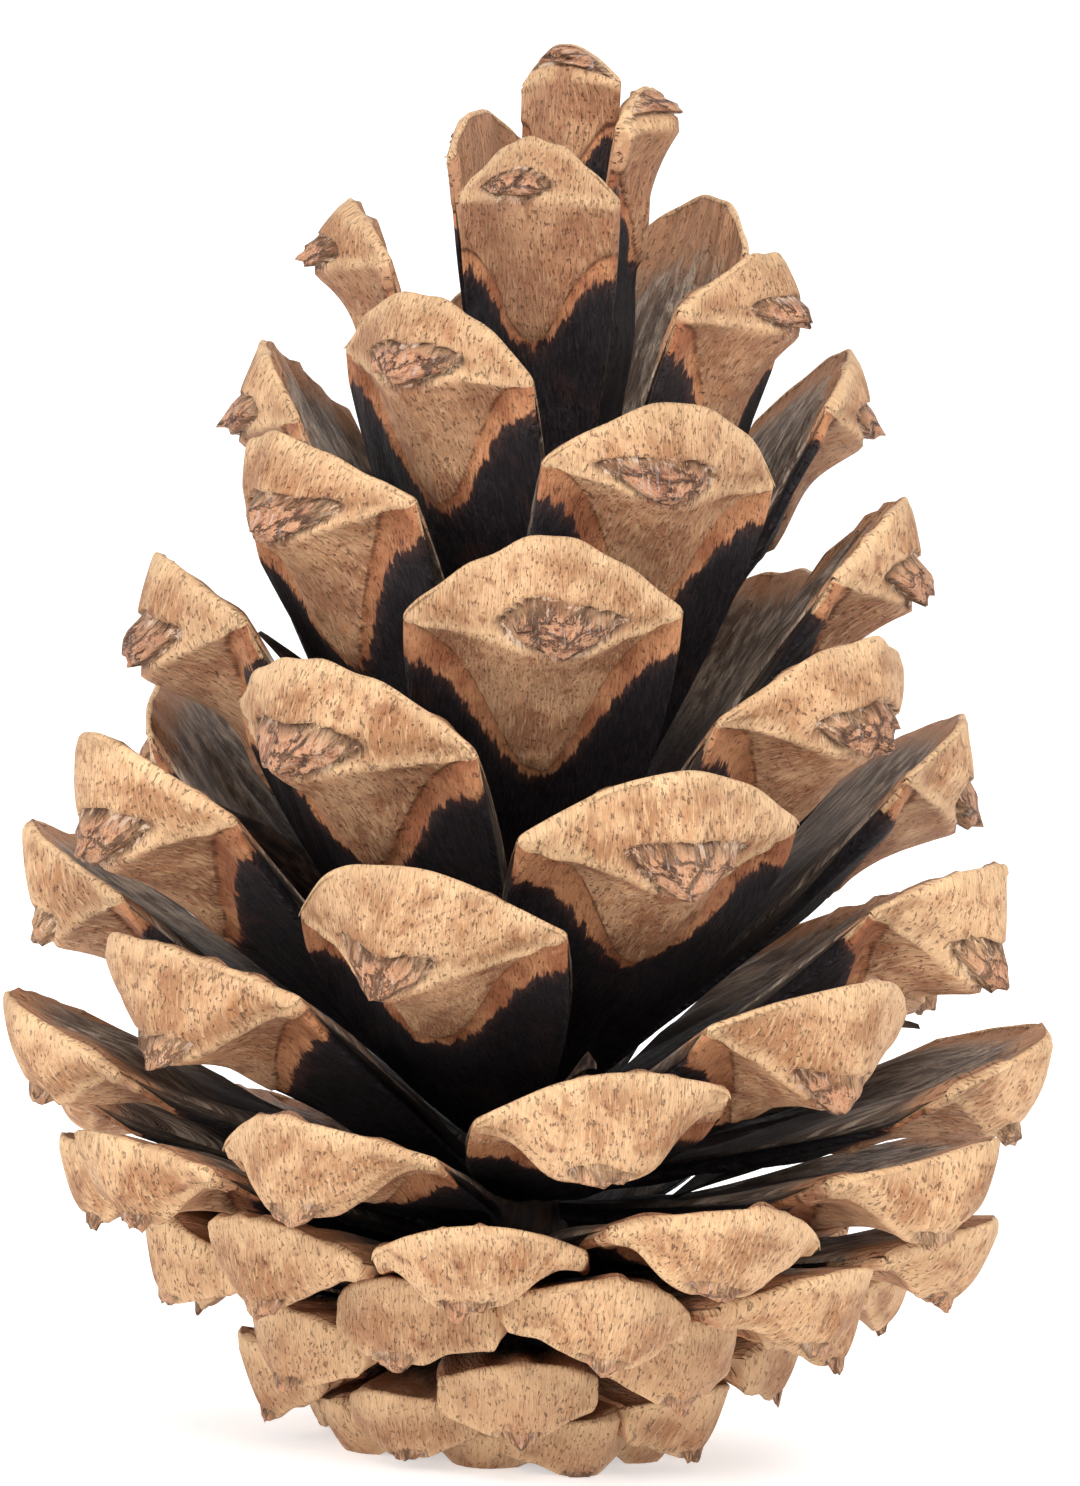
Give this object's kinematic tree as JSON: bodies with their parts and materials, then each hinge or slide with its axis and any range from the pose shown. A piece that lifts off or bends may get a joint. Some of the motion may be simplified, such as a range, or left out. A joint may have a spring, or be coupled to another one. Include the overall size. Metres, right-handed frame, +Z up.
{
  "type": "pine cone",
  "caption": "Open pine cone: thick-tipped woody scales spiral round a central axis and it stands upright on its packed basal scales.",
  "frame": {"origin": "middle of the bounding box of the cone, at the level it stands on", "axes": "+Z up along the cone's axis towards its tip; -Y is the side the reference view looks at"},
  "size_m": [0.0466, 0.0466, 0.0634],
  "materials": {
    "scale_wood": "dry, matt",
    "axis_wood": "dry, matt, dark",
    "seed_wing": "thin, papery"
  },
  "bodies": {
    "root": {"axis": "axis_wood", "scale_01": "scale_wood", "scale_02": "scale_wood", "scale_03": "scale_wood", "scale_04": "scale_wood", "scale_05": "scale_wood", "scale_06": "scale_wood", "scale_07": "scale_wood", "scale_08": "scale_wood", "scale_09": "scale_wood", "scale_10": "scale_wood", "scale_11": "scale_wood", "scale_12": "scale_wood", "scale_13": "scale_wood", "scale_14": "scale_wood", "scale_15": "scale_wood", "scale_16": "scale_wood", "scale_17": "scale_wood", "scale_18": "scale_wood", "scale_19": "scale_wood", "scale_20": "scale_wood", "scale_21": "scale_wood", "scale_22": "scale_wood", "scale_23": "scale_wood", "scale_24": "scale_wood", "scale_25": "scale_wood", "scale_26": "scale_wood", "scale_27": "scale_wood", "scale_28": "scale_wood", "scale_29": "scale_wood", "scale_30": "scale_wood", "scale_31": "scale_wood", "scale_32": "scale_wood", "scale_33": "scale_wood", "scale_34": "scale_wood", "scale_35": "scale_wood", "scale_36": "scale_wood", "scale_37": "scale_wood", "scale_38": "scale_wood", "scale_39": "scale_wood", "scale_40": "scale_wood", "scale_41": "scale_wood", "scale_42": "scale_wood", "scale_43": "scale_wood", "scale_44": "scale_wood", "scale_45": "scale_wood", "scale_46": "scale_wood", "scale_47": "scale_wood", "scale_48": "scale_wood", "scale_49": "scale_wood", "scale_50": "scale_wood", "scale_51": "scale_wood", "scale_52": "scale_wood", "scale_53": "scale_wood", "basal_scales": "scale_wood", "seed_wing_1": "seed_wing", "seed_wing_2": "seed_wing", "seed_wing_3": "seed_wing", "seed_wing_4": "seed_wing", "seed_wing_5": "seed_wing"}
  },
  "joints": []
}
